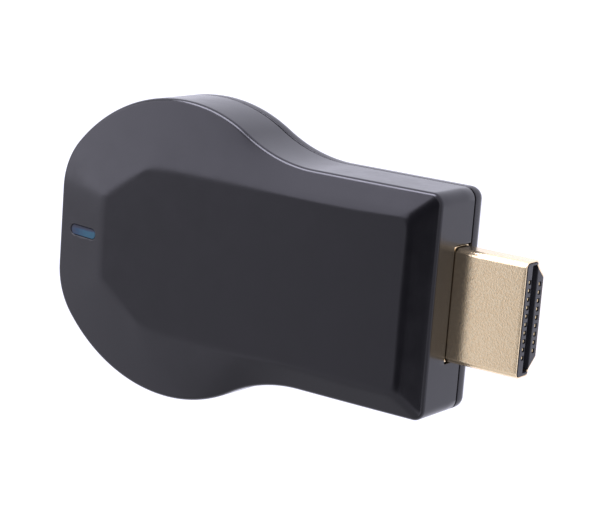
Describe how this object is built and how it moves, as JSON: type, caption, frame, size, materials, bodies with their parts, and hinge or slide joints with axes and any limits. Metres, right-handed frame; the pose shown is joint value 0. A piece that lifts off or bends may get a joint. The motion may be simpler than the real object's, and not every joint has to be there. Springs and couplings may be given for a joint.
{
  "type": "streaming media player",
  "caption": "Thin keyhole-shaped plug-in media player with a raised flat, an indicator light slot, a side button, a video plug at one end and a power inlet at the other.",
  "frame": {"origin": "middle of the back face's bounding rectangle, plug included, on the back face", "axes": "+X towards the video plug, +Z out of the front face, +Y to the left when looking along +X"},
  "size_m": [0.0676, 0.0384, 0.0115],
  "materials": {
    "housing": "satin black moulded plastic with a very fine texture",
    "button_plastic": "satin black",
    "plug_gold": "pale gold plating with a fine blasted grain",
    "insulator": "matt dark grey moulding",
    "contact_gold": "bright gold plating",
    "inlet_steel": "bright nickel plating",
    "light_window": "milky blue translucent plastic",
    "laminate": "green solder resist",
    "chip": "matt moulded package",
    "can_metal": "tinned sheet",
    "ceramic_white": "fired ceramic",
    "ceramic_tan": "fired ceramic",
    "inductor": "pressed ferrite",
    "lamp": "clear cast package",
    "thermal_pad": "soft grey-blue gap filler",
    "spreader": "plain rolled aluminium",
    "screw_steel": "zinc plated",
    "plunger_plastic": "moulded black"
  },
  "bodies": {
    "casing": {"front_shell": "housing", "back_shell": "housing", "circuit_board": "laminate", "processor": "chip", "memory_chips": "chip", "flash_memory": "chip", "crystal": "can_metal", "wireless_module": "can_metal", "chip_antennas": "ceramic_white", "power_inductors": "inductor", "voltage_regulators": "chip", "status_lamp": "lamp", "surge_guards": "chip", "capacitors": "ceramic_tan", "resistors": "chip", "screening_frame": "can_metal", "screening_lid": "can_metal", "thermal_pad": "thermal_pad", "heat_spreader": "spreader", "board_screws": "screw_steel", "plug_shell": "plug_gold", "plug_insulator": "insulator", "plug_contacts": "contact_gold", "inlet_shell": "inlet_steel", "inlet_tongue": "insulator", "inlet_contacts": "contact_gold", "light_pipe": "light_window", "switch_base": "insulator", "switch_dome": "screw_steel", "switch_cover": "inlet_steel"},
    "button": {"function_button": "button_plastic"},
    "plunger": {"switch_plunger": "plunger_plastic"}
  },
  "joints": [
    {"name": "button_press", "type": "slide", "parent": "casing", "child": "button", "axis": [0.3404, 0.9403, 0], "range_m": [0, 0.0003], "stiffness_N_per_m": 5000},
    {"name": "plunger_travel", "type": "slide", "parent": "casing", "child": "plunger", "axis": [0.3404, 0.9403, 0], "range_m": [0, 0.0003]}
  ],
  "couplings": [
    {"joint": "plunger_travel", "follows": "button_press", "ratio": 1}
  ]
}
